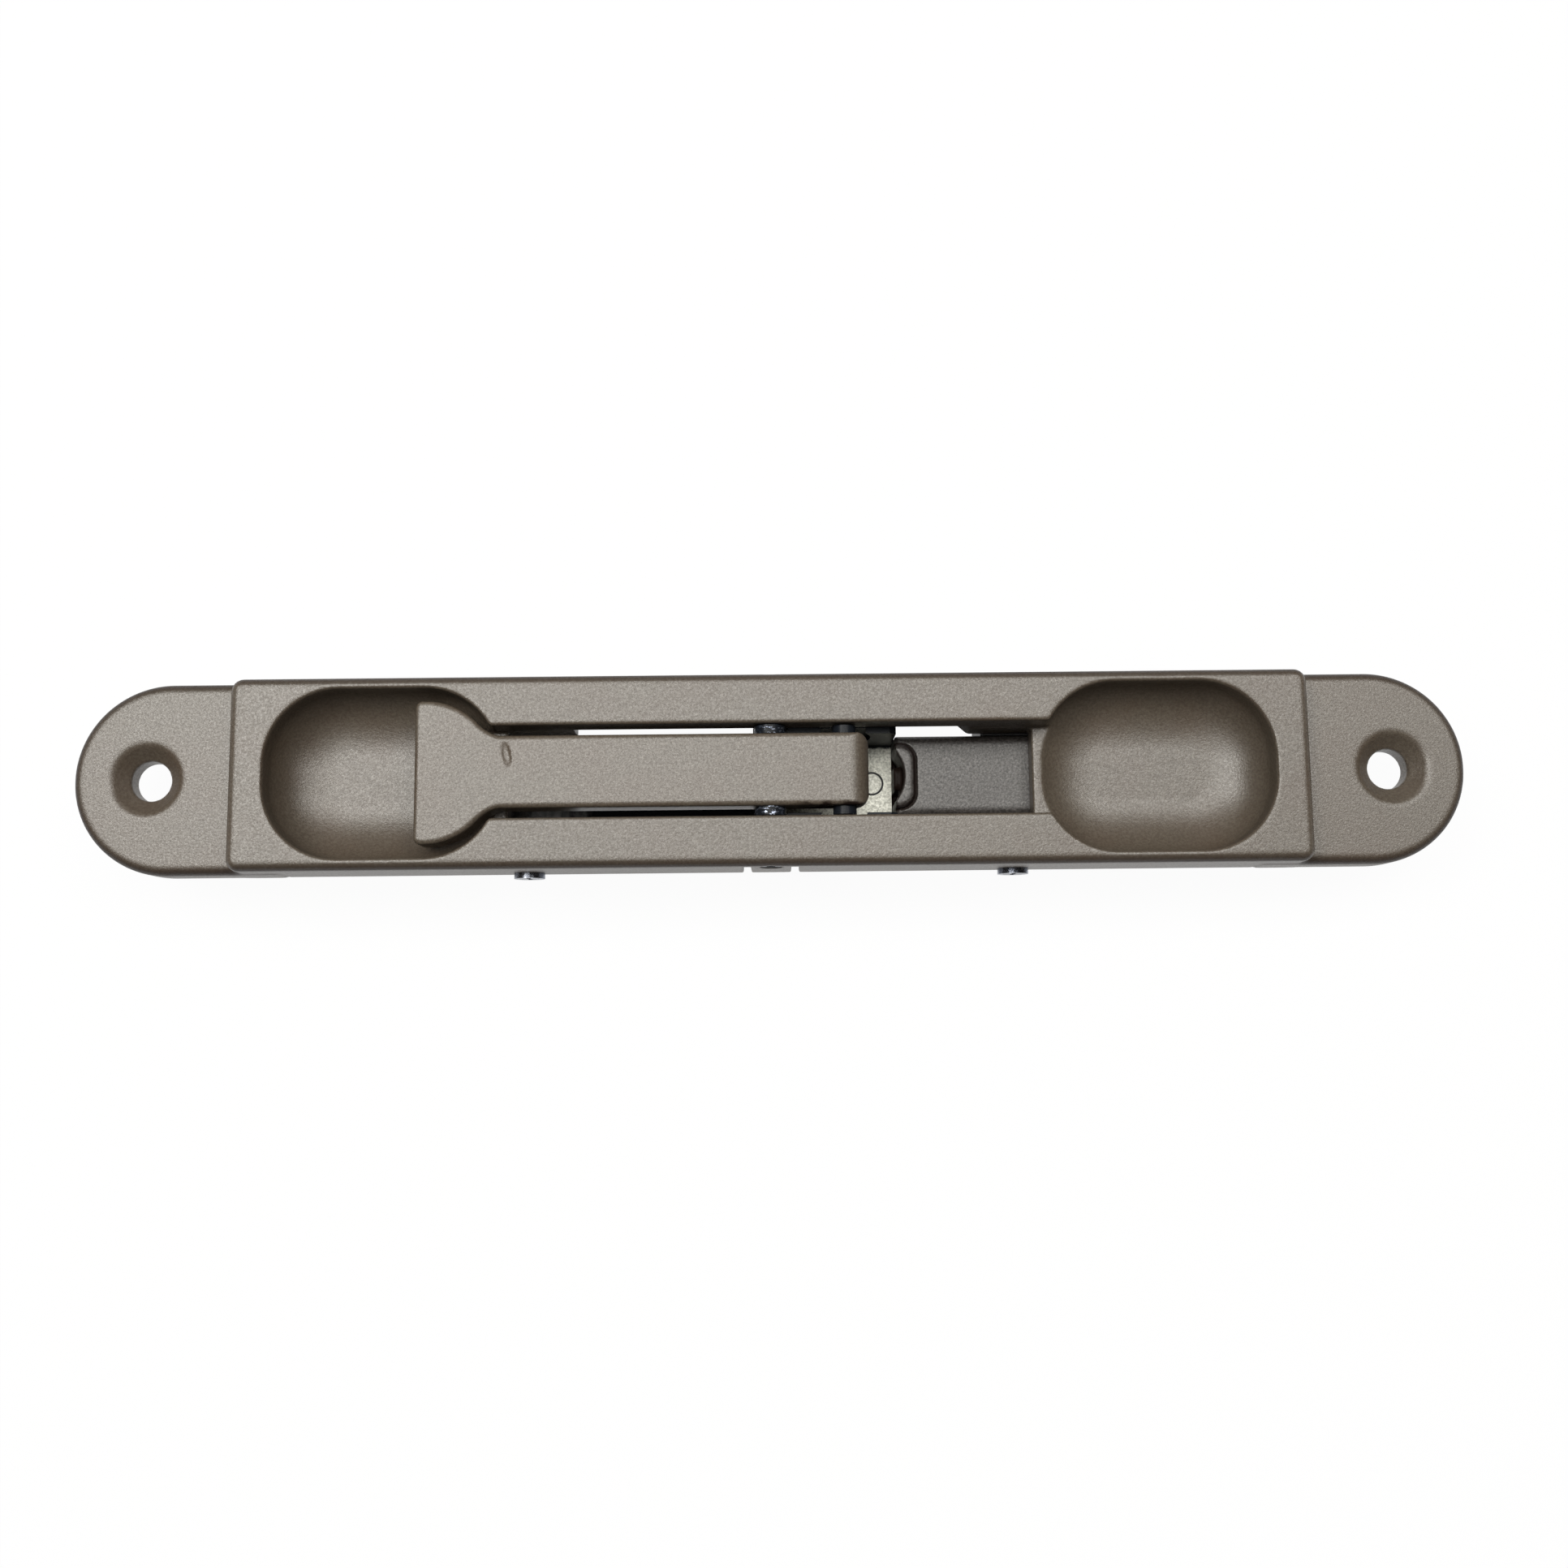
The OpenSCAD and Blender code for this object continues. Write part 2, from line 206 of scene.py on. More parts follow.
def mesh_of(name, field, corner, pitch, node, body):
    """Turns a distance field into a smooth mesh piece that stands for a CAD node."""
    g = vdb.FloatGrid(5.0)
    g.copyFromArray(np.ascontiguousarray(np.clip(field, -4, 4), dtype=np.float32))
    pts, quads = g.convertToQuads(isovalue=0.0)
    pts = pts.astype(np.float64) * pitch + corner
    low, high = box_mm(node)
    pts = np.clip(pts, low, high) * MM
    a, b, c = pts[quads[:, 0]], pts[quads[:, 1]], pts[quads[:, 2]]
    if np.einsum("ij,ij->i", a, np.cross(b, c)).sum() < 0:
        quads = quads[:, ::-1]
    me = bpy.data.meshes.new(name)
    me.vertices.add(len(pts))
    me.vertices.foreach_set("co", pts.astype(np.float32).ravel())
    me.loops.add(quads.size)
    me.loops.foreach_set("vertex_index", quads.astype(np.int32).ravel())
    me.polygons.add(len(quads))
    me.polygons.foreach_set("loop_start", np.arange(0, quads.size, 4, dtype=np.int32))
    me.polygons.foreach_set("use_smooth", np.ones(len(quads), bool))
    me.update(calc_edges=True)
    me.validate()
    ob = bpy.data.objects.new(name, me)
    bpy.context.scene.collection.objects.link(ob)
    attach(ob, body)
    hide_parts(node)
    return ob


# ------------------------------------------------------------ materials
def nodes_of(name):
    """New material: itself, its node tree, its shader and its object coordinates."""
    mat = bpy.data.materials.new(name)
    mat.use_nodes = True
    nt = mat.node_tree
    nt.nodes.clear()
    out = nt.nodes.new("ShaderNodeOutputMaterial")
    shader = nt.nodes.new("ShaderNodeBsdfPrincipled")
    nt.links.new(shader.outputs[0], out.inputs["Surface"])
    coord = nt.nodes.new("ShaderNodeTexCoord")
    return mat, nt, shader, coord.outputs["Object"]


def noise(nt, coord, scale, detail=3.0, rough=0.55, stretch=None):
    """Noise value; stretch scales the pattern along each axis."""
    if stretch is not None:
        mapping = nt.nodes.new("ShaderNodeMapping")
        mapping.inputs["Scale"].default_value = stretch
        nt.links.new(coord, mapping.inputs["Vector"])
        coord = mapping.outputs[0]
    n = nt.nodes.new("ShaderNodeTexNoise")
    n.inputs["Scale"].default_value = scale
    n.inputs["Detail"].default_value = detail
    n.inputs["Roughness"].default_value = rough
    nt.links.new(coord, n.inputs["Vector"])
    return n.outputs["Fac"]


def spread(nt, value, low, high, out_low=0.0, out_high=1.0):
    """Maps low..high to out_low..out_high, and holds it beyond the ends."""
    m = nt.nodes.new("ShaderNodeMapRange")
    m.inputs["From Min"].default_value = low
    m.inputs["From Max"].default_value = high
    m.inputs["To Min"].default_value = out_low
    m.inputs["To Max"].default_value = out_high
    nt.links.new(value, m.inputs["Value"])
    return m.outputs[0]


def blend(nt, fac, a, b):
    """Mix of two colours, each a plain colour or a shader value."""
    m = nt.nodes.new("ShaderNodeMix")
    m.data_type = "RGBA"
    nt.links.new(fac, m.inputs["Factor"])
    for socket, value in ((m.inputs[6], a), (m.inputs[7], b)):
        if isinstance(value, tuple):
            socket.default_value = (*value, 1.0)
        else:
            nt.links.new(value, socket)
    return m.outputs[2]


def bump(nt, shader, height, strength, distance):
    """Gives the shader a fine relief from a height value."""
    b = nt.nodes.new("ShaderNodeBump")
    b.inputs["Strength"].default_value = strength
    b.inputs["Distance"].default_value = distance
    nt.links.new(height, b.inputs["Height"])
    nt.links.new(b.outputs[0], shader.inputs["Normal"])


def away_from(nt, coord, socket, at):
    """Distance along one axis from a plane, as a shader value."""
    split = nt.nodes.new("ShaderNodeSeparateXYZ")
    nt.links.new(coord, split.inputs[0])
    off = nt.nodes.new("ShaderNodeMath")
    off.operation = "SUBTRACT"
    nt.links.new(split.outputs[socket], off.inputs[0])
    off.inputs[1].default_value = at
    size = nt.nodes.new("ShaderNodeMath")
    size.operation = "ABSOLUTE"
    nt.links.new(off.outputs[0], size.inputs[0])
    return size.outputs[0]


def combine(nt, a, b, how="ADD"):
    """Two shader values combined, by default added."""
    m = nt.nodes.new("ShaderNodeMath")
    m.operation = how
    nt.links.new(a, m.inputs[0])
    nt.links.new(b, m.inputs[1])
    return m.outputs[0]


def squares(nt, a, b):
    """a squared plus b squared."""
    return combine(nt, combine(nt, a, a, "MULTIPLY"), combine(nt, b, b, "MULTIPLY"))


def blend_value(nt, fac, a, b):
    """Mix of the shader value a and the plain number b."""
    m = nt.nodes.new("ShaderNodeMix")
    m.data_type = "FLOAT"
    nt.links.new(fac, m.inputs["Factor"])
    nt.links.new(a, m.inputs[2])
    m.inputs[3].default_value = b
    return m.outputs[0]


# GREASE_AND_SHADE_DARK is grease on the paint, and painted shade in the carriage's hollow and along
# its rim.
GREASE_AND_SHADE_DARK = (0.016, 0.010, 0.008)
# EDGE_SHADE is painted shade for the rounded outer edge of the face and the lugs.
EDGE_SHADE = (0.036, 0.025, 0.019)
STEEL_GREASE = (0.010, 0.012, 0.016)
DRAWN = (900, (1.0, 0.35, 1.0))
SPECKLED = (3200, (1.0, 1.0, 1.0))


def shaded_outer_edge(nt, coord):
    """Painted shade: 1 on the rounded edge along the outline of the face and the lugs, 0 elsewhere.
    """
    straight = half_l - half_w
    x = away_from(nt, coord, "X", 0.0)
    past_straight = spread(nt, x, straight * MM, half_l * MM, 0.0, half_w * MM)
    rho2 = squares(nt, past_straight, away_from(nt, coord, "Y", 0.0))
    inner_r = (half_w - 1.25) * MM
    outer_r = (half_w - 0.35) * MM
    rim = spread(nt, rho2, inner_r**2, outer_r**2)
    facing = nt.nodes.new("ShaderNodeSeparateXYZ")
    geometry = nt.nodes.new("ShaderNodeNewGeometry")
    nt.links.new(geometry.outputs["Normal"], facing.inputs[0])
    up = spread(nt, facing.outputs["Z"], 0.15, 0.4)
    return combine(nt, rim, up, "MULTIPLY")


def powder_coat(name, base, light, rough=0.42, grease=None, edge=None):
    """Satin powder coat with a pebbled grain and faint patches.

    Grease covers it where grease(nt, coord) is 1, and painted shade darkens it where edge(nt,
    coord) is 1.
    """
    mat, nt, shader, coord = nodes_of(name)
    grain = noise(nt, coord, 2900, 2, 0.6)
    pebble = noise(nt, coord, 4600, 1, 0.5)
    patch = noise(nt, coord, 120, 3, 0.5)
    colour = blend(nt, spread(nt, grain, 0.36, 0.64), base, light)
    browner = tuple(c * k for c, k in zip(base, (1.04, 0.84, 0.74)))
    colour = blend(nt, spread(nt, patch, 0.42, 0.72, 0, 0.4), colour, browner)
    roughness = spread(nt, pebble, 0.3, 0.7, rough - 0.06, rough + 0.08)
    gloss = spread(nt, grain, 0.36, 0.64, 0.84, 1.08)
    if grease is not None:
        # Grease, and in the carriage's hollow and along its rim painted shade as well.
        cover = grease(nt, coord)
        colour = blend(nt, cover, colour, GREASE_AND_SHADE_DARK)
        roughness = blend_value(nt, cover, roughness, 0.45)
        gloss = blend_value(nt, cover, gloss, 0.08)
    # Painted shade on the rounded outer edge: a darker colour and less sheen.
    if edge is not None:
        edge_shade = edge(nt, coord)
        colour = blend(nt, edge_shade, colour, EDGE_SHADE)
        gloss = blend_value(nt, edge_shade, gloss, 0.42)
    nt.links.new(colour, shader.inputs["Base Color"])
    nt.links.new(roughness, shader.inputs["Roughness"])
    nt.links.new(gloss, shader.inputs["Specular IOR Level"])
    bump(nt, shader, combine(nt, grain, pebble), 0.45, 0.05 * MM)
    return mat


def plated(name, base, dark, metallic, rough, grease=None, pattern=DRAWN):
    """Zinc plated, ground or blued steel, with black grease where grease(nt, coord) is 1."""
    mat, nt, shader, coord = nodes_of(name)
    scale, stretch = pattern
    streak = noise(nt, coord, scale, 3, 0.6, stretch)
    grain = noise(nt, coord, 4200, 2, 0.5)
    colour = blend(nt, spread(nt, streak, 0.35, 0.65), dark, base)
    roughness = spread(nt, grain, 0.3, 0.7, rough - 0.07, rough + 0.09)
    if grease is not None:
        cover = grease(nt, coord)
        colour = blend(nt, cover, colour, STEEL_GREASE)
        roughness = blend_value(nt, cover, roughness, 0.32)
        nt.links.new(spread(nt, cover, 0, 1, metallic, 0.0), shader.inputs["Metallic"])
        nt.links.new(spread(nt, cover, 0, 1, 0.5, 0.12), shader.inputs["Specular IOR Level"])
    else:
        shader.inputs["Metallic"].default_value = metallic
    nt.links.new(colour, shader.inputs["Base Color"])
    nt.links.new(roughness, shader.inputs["Roughness"])
    bump(nt, shader, grain, 0.25, 0.02 * MM)
    return mat


def greased_cheeks(nt, coord):
    """Grease on the yoke cheeks, with ragged edges on the web."""
    smear = spread(nt, noise(nt, coord, 900, 4, 0.65), 0.3, 0.7, -0.1 * MM, 0.2 * MM)
    return spread(nt, combine(nt, away_from(nt, coord, "Y", 0.0), smear), 4.8 * MM, 5.1 * MM)


def greased_bar(nt, coord):
    """Grease on the bar between the guides, where the lever works."""
    smear = spread(nt, noise(nt, coord, 300, 4, 0.65), 0.3, 0.7, -2 * MM, 2 * MM)
    along = combine(nt, away_from(nt, coord, "X", 0.0), smear)
    return spread(nt, along, 24 * MM, 28 * MM, 1.0, 0.0)


def greased_patches(nt, coord):
    """Patchy grease over most of a pin."""
    return spread(nt, noise(nt, coord, 1300, 3, 0.6, stretch=(1.0, 2.2, 1.0)), 0.55, 0.62, 1.0, 0.0)


def greased_over(nt, coord):
    """Grease all over, thinner in a few spots."""
    return spread(nt, noise(nt, coord, 1500, 2, 0.5), 0.70, 0.80, 1.0, 0.9)


def rivet_ring(nt, coord):
    """Dark line round each flush rivet head."""
    inner_r = 1.3 * MM
    outer_r = 1.4 * MM
    to_rivets = [away_from(nt, coord, "X", rivet_x * MM) for rivet_x in rivet_xs]
    near = combine(nt, *to_rivets, "MINIMUM")
    rho2 = squares(nt, away_from(nt, coord, "Y", 0.0), near)
    return spread(nt, rho2, inner_r**2, outer_r**2)


def greased_nose(nt, coord):
    """Grease worked out along the lower edge of the lever near the crank pin."""
    smear = spread(nt, noise(nt, coord, 500, 4, 0.6), 0.3, 0.7, -0.4 * MM, 0.4 * MM)
    from_above = combine(nt, away_from(nt, coord, "Y", 6 * MM), smear)
    low = spread(nt, from_above, 10.2 * MM, 10.6 * MM)
    near = spread(nt, away_from(nt, coord, "X", 11.5 * MM), 6 * MM, 9 * MM, 1.0, 0.0)
    return combine(nt, low, near, "MULTIPLY")


def greased_and_shaded_hollow(nt, coord):
    """Grease and painted shade in the hollow of the carriage, and painted shade along the foot of
    its rim.
    """
    # Inside the hollow: grease with painted shade.
    x = away_from(nt, coord, "X", hollow_x * MM)
    y = away_from(nt, coord, "Y", 0.0)
    inner_r = (hollow_r + 0.02) * MM
    outer_r = (hollow_r + 0.17) * MM
    hollow = spread(nt, squares(nt, x, y), inner_r**2, outer_r**2, 1.0, 0.0)
    # Painted shade: a dark band along the outer foot of the rim.
    past_x = rim_half_l - rim_corner
    past_y = rim_half_w - rim_corner
    rim_off = away_from(nt, coord, "X", rim_x * MM)
    u = spread(nt, rim_off, past_x * MM, (past_x + 10) * MM, 0.0, 10 * MM)
    v = spread(nt, y, past_y * MM, (past_y + 10) * MM, 0.0, 10 * MM)
    from_core = squares(nt, u, v)
    starts = spread(nt, from_core, (1.78 * MM) ** 2, (1.92 * MM) ** 2)
    ends = spread(nt, from_core, (2.32 * MM) ** 2, (2.46 * MM) ** 2, 1.0, 0.0)
    return combine(nt, hollow, combine(nt, starts, ends, "MULTIPLY"), "MAXIMUM")


def moulded(name, base, rough):
    """Dark moulded plastic or rubber with a faint mottle."""
    mat, nt, shader, coord = nodes_of(name)
    mottle = noise(nt, coord, 1500, 3, 0.6)
    worn = tuple(c * 1.5 for c in base)
    colour = blend(nt, spread(nt, mottle, 0.35, 0.65), base, worn)
    nt.links.new(colour, shader.inputs["Base Color"])
    roughness = spread(nt, mottle, 0.3, 0.7, rough - 0.05, rough + 0.08)
    nt.links.new(roughness, shader.inputs["Roughness"])
    bump(nt, shader, mottle, 0.2, 0.03 * MM)
    return mat


TAUPE = (0.076, 0.059, 0.043)
TAUPE_LIGHT = (0.103, 0.083, 0.061)
# The face and the lugs get painted shade on their rounded outer edge.
paint = powder_coat("powder coat", TAUPE, TAUPE_LIGHT, edge=shaded_outer_edge)
lever_paint = powder_coat(
    "lever powder coat", (0.080, 0.062, 0.045), (0.109, 0.088, 0.065), grease=greased_nose
)
# The carriage wears the face's brown coat; its much darker colours here are painted shade for its
# place down in the slot.
carriage_paint = powder_coat(
    "carriage powder coat", (0.017, 0.014, 0.012), (0.060, 0.052, 0.048), 0.5, greased_and_shaded_hollow
)
cast_zinc = powder_coat("block powder coat", (0.070, 0.053, 0.039), (0.105, 0.083, 0.063), 0.5)

ZINC = (0.82, 0.82, 0.74)
ZINC_DARK = (0.42, 0.42, 0.37)
RIVET = (0.82, 0.82, 0.75)
PIN = (0.30, 0.32, 0.38)
PIN_DARK = (0.12, 0.13, 0.17)
plated_steel = plated("zinc plate", ZINC, ZINC_DARK, 0.5, 0.46, greased_cheeks, pattern=SPECKLED)
rivet_steel = plated("rivet steel", RIVET, ZINC_DARK, 0.5, 0.46, rivet_ring, pattern=SPECKLED)
bar_steel = plated("bar steel", (0.30, 0.30, 0.31), (0.14, 0.14, 0.15), 0.9, 0.4, greased_bar)
crank_steel = plated(
    "crank pin steel", (0.20, 0.21, 0.25), (0.08, 0.09, 0.12), 0.95, 0.3, greased_over
)
pin_steel = plated("ground pin steel", PIN, PIN_DARK, 0.95, 0.3, greased_patches)
washer_steel = plated(
    "washer steel", (0.33, 0.36, 0.44), (0.10, 0.12, 0.17), 0.95, 0.24, greased_patches
)
spring_steel = plated("blued spring steel", (0.16, 0.19, 0.27), (0.08, 0.10, 0.15), 0.95, 0.28)
screw_steel = plated("dark screw steel", (0.33, 0.35, 0.40), (0.12, 0.13, 0.16), 0.95, 0.26)
nylon = moulded("black nylon", (0.022, 0.022, 0.024), 0.48)
rubber = moulded("black rubber", (0.014, 0.014, 0.014), 0.72)

CAD_FINISH = {
    "pivot_pin": pin_steel,
    "pivot_washers": washer_steel,
    "crank_pin": crank_steel,
    "yoke": plated_steel,
    "yoke_rivets": rivet_steel,
    "carriage_screws": screw_steel,
    "drive_bar": bar_steel,
    "guide_left": nylon,
    "guide_right": nylon,
    "side_screws": screw_steel,
    "friction_spring_left": spring_steel,
    "friction_spring_right": spring_steel,
    "rod_block_left": cast_zinc,
    "rod_block_right": cast_zinc,
    "rod_block_screws": screw_steel,
    "rod_set_screws": screw_steel,
    "stop_buffer_left": rubber,
    "stop_buffer_right": rubber,
}
for name, mat in CAD_FINISH.items():
    ob = frame["nodes"][name]
    ob.data.materials.clear()
    ob.data.materials.append(mat)

# Broken edges on the moulded, cast and bent pieces.
BROKEN_EDGE = {
    "guide_left": 0.30,
    "guide_right": 0.30,
    "rod_block_left": 0.35,
    "rod_block_right": 0.35,
    "stop_buffer_left": 0.25,
    "stop_buffer_right": 0.25,
    "yoke": 0.12,
}
for name, width in BROKEN_EDGE.items():
    seams = frame["nodes"][name].modifiers.new("closed seams", "WELD")
    seams.merge_threshold = 0.002 * MM
    edge = frame["nodes"][name].modifiers.new("broken edge", "BEVEL")
    edge.width = width * MM
    edge.segments = 3
    edge.limit_method = "ANGLE"
    edge.angle_limit = math.radians(50)
    edge.use_clamp_overlap = True
    edge.harden_normals = True


# ------------------------------------------------------------ face body
def raised_face(ax, y, z):
    """Block of the raised face; its skirt reaches below the lugs as far as skirt_end."""
    face = both(rect(ax, y, 0, 0, face_half_l, face_half_w, face_corner), z - face_z, face_edge)
    underside = np.where(ax < skirt_end, body_lo[2], 0.0)
    return both(face, underside - z, 0.25)


def fixing_lugs(ax, y, z):
    """Round-ended lugs beyond the skirt."""
    lug = both(rect(ax, y, 0, 0, half_l, half_w, half_w - 0.05), z - lug_top, lug_edge)
    return both(both(lug, -z, 0.3), skirt_end - 0.1 - ax, 0.5)


def with_scoops_and_slot(solid, ax, y, z):
    """Cuts the finger scoops and the lever slot down from the face."""
    plan = rect(ax, y, scoop_x, 0, scoop_half_l, scoop_half_w, scoop_corner)
    bowl = both(plan, (face_z - scoop_depth - z) * scoop_steepness, scoop_floor_r)
    slot = rect(ax, y, 0, 0, slot_end, slot_half_w, 0.2) + 0 * z
    low = (-far, -slot_half_w, face_z - slot_lip)
    over = block(ax, y, z, low, (slot_top_end, slot_half_w, far))
    solid = cut(solid, np.minimum(slot, over), 0.45)
    solid = cut(solid, bowl, 0.5)
    return cut(solid, join(bowl, over, 0.4), 0.35)


def with_cavity(solid, x, y, z):
    """Cuts what is open from below: the room for the carriage, the yoke and its cheeks."""
    ax = np.abs(x)
    ay = np.abs(y)
    under = block(ax, y, z, (-far, -slot_half_w, -far), (under_end, slot_half_w, under_top), 0.2)
    solid = cut(solid, under)
    low = (cavity_left, -cavity_half_w, -far)
    cavity = block(x, y, z, low, (cavity_right, cavity_half_w, face_z - cavity_roof))
    run = cavity_right - slant_x
    rise = cavity_half_w - slot_half_w
    slant = ((x - slant_x) * rise + (ay - cavity_half_w) * run) / math.hypot(run, rise)
    solid = cut(solid, np.maximum(cavity, slant), 0.2)
    low = (channel_left, channel_inner, -far)
    high = (channel_right, channel_outer, face_z - channel_roof)
    return cut(solid, block(x, ay, z, low, high, 0.4))


def with_holes(solid, x, y, z):
    """Cuts the slits beside the pivot, the guide recesses and all the round holes."""
    ax = np.abs(x)
    ay = np.abs(y)
    low = (slit_x[0], face_half_w - slit_depth, -far)
    slit = block(ax, ay, z, low, (slit_x[1], far, face_z - slit_roof))
    solid = cut(solid, slit, 0.15)
    low = (recess_x[0], recess_y[0], -far)
    recess = block(ax, ay, z, low, (recess_x[1], recess_y[1], recess_top))
    solid = cut(solid, recess)
    side_hole = disc(ax, z, side_screw_x, side_screw_z, side_hole_r)
    solid = cut(solid, np.maximum(side_hole, side_hole_start - ay))
    solid = cut(solid, disc(x, z, 0, pin_z, pin_r + 0.01) + 0 * y)
    from_wall = np.sqrt((ax - hole_x) ** 2 + y * y) - hole_r
    cone = (from_wall - (z - lug_top + countersink_depth)) * math.sqrt(0.5)
    in_cone = z > lug_top - countersink_depth - 0.6
    bore = np.minimum(from_wall + 0 * z, np.where(in_cone, cone, 9.0))
    return cut(solid, bore, 0.35)


def body_piece():
    """Face body with its lugs, scoops, slot and holes."""
    pitch = 0.25
    x, y, z, corner = grid(body_lo, body_hi, pitch)
    ax = np.abs(x)
    solid = join(raised_face(ax, y, z), fixing_lugs(ax, y, z), 0.7)
    solid = with_scoops_and_slot(solid, ax, y, z)
    solid = with_cavity(solid, x, y, z)
    solid = with_holes(solid, x, y, z)
    ob = mesh_of("face_body", solid, corner, pitch, "body", "housing")
    ob.data.materials.append(paint)


# ------------------------------------------------------------ lever
def lever_mark(x, y, z):
    """Small slanting dent in the top of the lever near the pad."""
    along = (x - mark_x) * 0.98 + (y - mark_y) * 0.2
    across = (y - mark_y) * 0.98 - (x - mark_x) * 0.2
    above = z - lever_hi[2] - 0.1
    ellipsoid = np.sqrt((along / 0.56) ** 2 + (across / 1.6) ** 2 + (above / 0.38) ** 2)
    return (ellipsoid - 1) * 0.34


def lever_piece():
    """Flip lever with its pad, rounded nose and the pocket under its arm."""
    pitch = 0.16
    x, y, z, corner = grid(lever_lo, lever_hi, pitch)
    top = lever_hi[2]
    low = lever_lo[2]
    tip = lever_hi[0]
    mid_x = (tip + lever_waist_x) / 2
    bar = rect(x, y, mid_x, 0, tip - mid_x, lever_half_w, waist_r)
    pad = both(disc(x, y, pad_x, 0, pad_r), lever_lo[0] - x, 0.9)
    solid = both(join(bar, pad, waist_r), z - top, lever_edge)
    nose = both(x - tip, z - top, nose_r) + 0 * y
    solid = both(solid, nose)
    solid = both(solid, low - z, 0.5)
    pocket_lo = (pocket_x[0], -pocket_half_w, -far)
    pocket_hi = (pocket_x[1], pocket_half_w, low + pocket_depth)
    solid = cut(solid, block(x, y, z, pocket_lo, pocket_hi, 0.6), 0.2)
    solid = cut(solid, disc(x, z, 0, pin_z, pin_r + 0.04) + 0 * y)
    solid = cut(solid, disc(x, z, crank_x, pin_z, pin_r + 0.01) + 0 * y)
    solid = cut(solid, lever_mark(x, y, z), 0.08)
    ob = mesh_of("flip_lever", solid, corner, pitch, "lever", "lever")
    ob.data.materials.append(lever_paint)


# ------------------------------------------------------------ carriage
def carriage_piece():
    """Slot carriage with the rim and the round hollow at its left end."""
    pitch = 0.15
    x, y, z, corner = grid(car_lo, car_hi, pitch)
    left = car_lo[0]
    right = car_hi[0]
    rim_top = car_hi[2]
    deck = rim_top - rim_height
    plate = rect(x, y, (left + right) / 2, 0, (right - left) / 2, car_hi[1], 0.4)
    base = both(both(plate, z - deck, carriage_edge), car_lo[2] - z, 0.2)
    rim_plan = rect(x, y, rim_x, 0, rim_half_l, rim_half_w, rim_corner)
    rim = both(both(rim_plan, z - rim_top, 0.85), deck - 1 - z)
    groove = np.abs(rim_plan - 0.16) - 0.16
    base = cut(base, both(groove, deck - 0.3 - z), 0.05)
    solid = join(base, both(rim, left - x))
    hollow = np.maximum(disc(x, y, hollow_x, 0, hollow_r) + 0 * z, car_lo[2] + 1 - z)
    boss = both(disc(x, y, boss_x, 0, boss_r) + 0 * z, z - car_lo[2] - 6, 0.9)
    solid = both(join(cut(solid, hollow, 0.4), boss, 0.5), left - x, 0.1)
    for screw_x in carriage_screw_x:
        screw_hole = disc(x, y, screw_x, 0, carriage_screw_r) + 0 * z
        solid = cut(solid, np.maximum(screw_hole, z - car_lo[2] - carriage_screw_depth))
    ob = mesh_of("slot_carriage", solid, corner, pitch, "carriage", "slider")
    ob.data.materials.append(carriage_paint)


body_piece()
lever_piece()
carriage_piece()

# ------------------------------------------------------------ floor, light and camera
lowest = min(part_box(n)[0].z for n in frame["nodes"])
bpy.ops.mesh.primitive_plane_add(size=6.0, location=(0, 0, lowest - 0.2 * MM))
floor = bpy.context.object
floor.name = "floor"
floor_glow = 0.96
floor_mat, floor_nt, floor_shader, _ = nodes_of("pale floor")
floor_shader.inputs["Base Color"].default_value = (0.9, 0.9, 0.9, 1)
floor_shader.inputs["Roughness"].default_value = 0.9
floor_shader.inputs["Specular IOR Level"].default_value = 0.1
glow = floor_nt.nodes.new("ShaderNodeEmission")
ray = floor_nt.nodes.new("ShaderNodeLightPath")
seen = combine(floor_nt, ray.outputs["Is Camera Ray"], ray.outputs["Is Glossy Ray"], "MAXIMUM")
scale = floor_nt.nodes.new("ShaderNodeMath")
scale.operation = "MULTIPLY"
scale.inputs[1].default_value = floor_glow
floor_nt.links.new(seen, scale.inputs[0])
mixer = floor_nt.nodes.new("ShaderNodeMixShader")
floor_nt.links.new(scale.outputs[0], mixer.inputs[0])
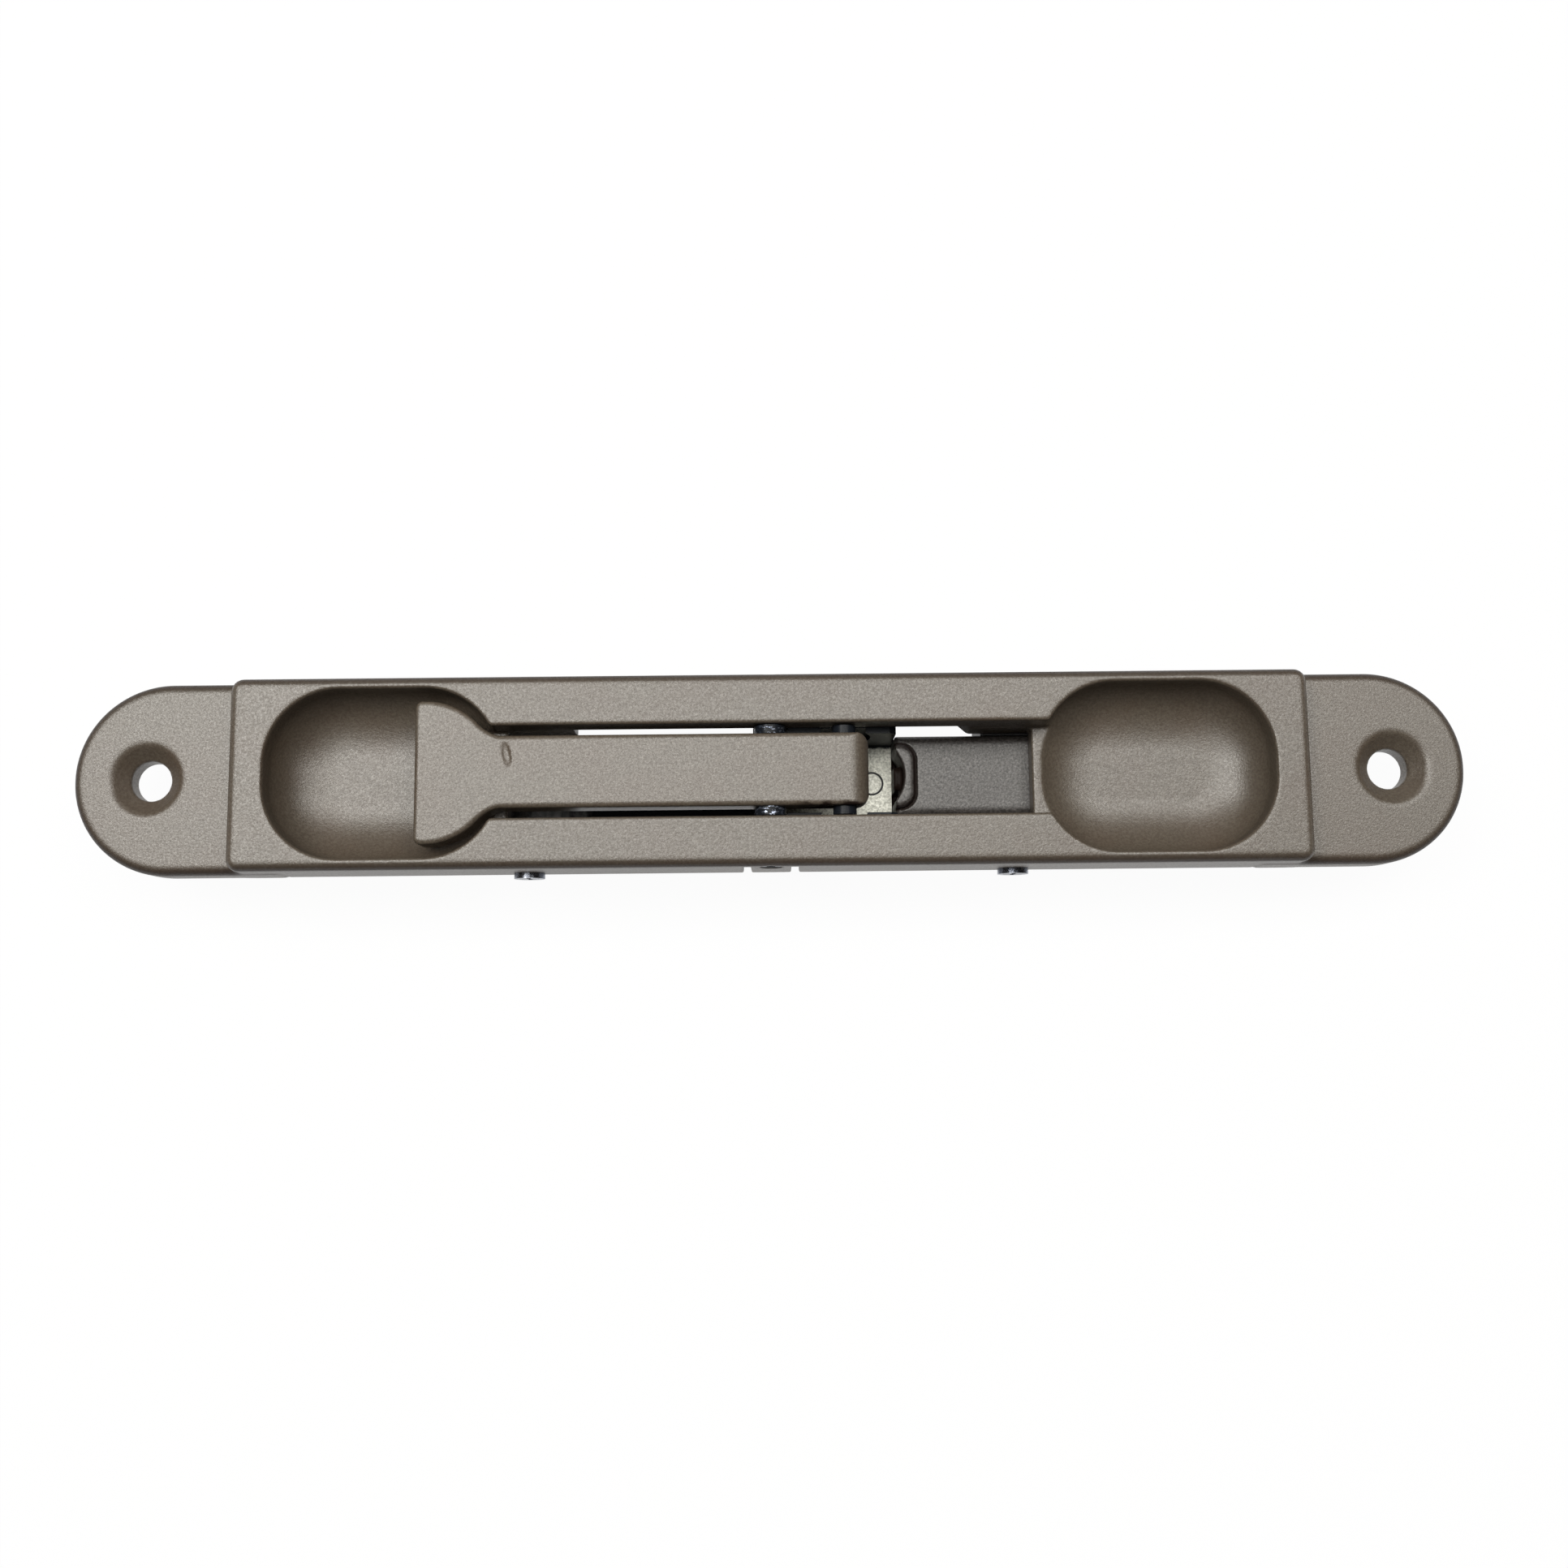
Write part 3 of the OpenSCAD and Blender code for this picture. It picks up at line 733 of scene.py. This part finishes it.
floor_nt.links.new(floor_shader.outputs[0], mixer.inputs[1])
floor_nt.links.new(glow.outputs[0], mixer.inputs[2])
floor_out = next(n for n in floor_nt.nodes if n.type == "OUTPUT_MATERIAL")
floor_nt.links.new(mixer.outputs[0], floor_out.inputs["Surface"])
floor.data.materials.append(floor_mat)

world = bpy.data.worlds.new("studio")
bpy.context.scene.world = world
world.use_nodes = True
backdrop = world.node_tree.nodes["Background"]
backdrop.inputs["Color"].default_value = (1, 1, 1, 1)
seen_from = world.node_tree.nodes.new("ShaderNodeLightPath")
world.node_tree.links.new(
    spread(world.node_tree, seen_from.outputs["Is Camera Ray"], 0.0, 1.0, 0.045, 0.9),
    backdrop.inputs["Strength"],
)


def lamp(name, place, size_x, size_y, power):
    """Rectangular lamp aimed at the middle of the bolt."""
    data = bpy.data.lights.new(name, "AREA")
    data.shape = "RECTANGLE"
    data.size = size_x
    data.size_y = size_y
    data.energy = power
    data.color = (1.0, 0.985, 0.94)
    ob = bpy.data.objects.new(name, data)
    ob.location = place
    ob.rotation_euler = (-Vector(place)).to_track_quat("-Z", "Y").to_euler()
    bpy.context.scene.collection.objects.link(ob)


lamp("overhead", (-0.05, 0.235, 0.9), 1.2, 0.4, 6.9)
lamp("near edge", (-0.05, 0.03, 0.9), 0.7, 0.1, 1.35)
lamp("left", (-0.5, 0.22, 0.9), 0.4, 0.42, 3.3)
lamp("right", (0.5, 0.22, 0.9), 0.3, 0.42, 1.4)
lamp("fill", (0, 0.9, 0.35), 0.8, 0.3, 0.3)

camera_data = bpy.data.cameras.new("camera")
camera = bpy.data.objects.new("camera", camera_data)
bpy.context.scene.collection.objects.link(camera)
bpy.context.scene.camera = camera
camera_data.sensor_width = 36
camera_data.lens = 37.37
camera_data.clip_start = 0.01
camera.location = Vector((1.0284, -29.4218, 212.7993)) * MM
turn = Vector((0.1338, -0.0028, -0.0103))
camera.rotation_mode = "AXIS_ANGLE"
camera.rotation_axis_angle = (turn.length, *turn.normalized())

bpy.context.scene.view_settings.view_transform = "Standard"
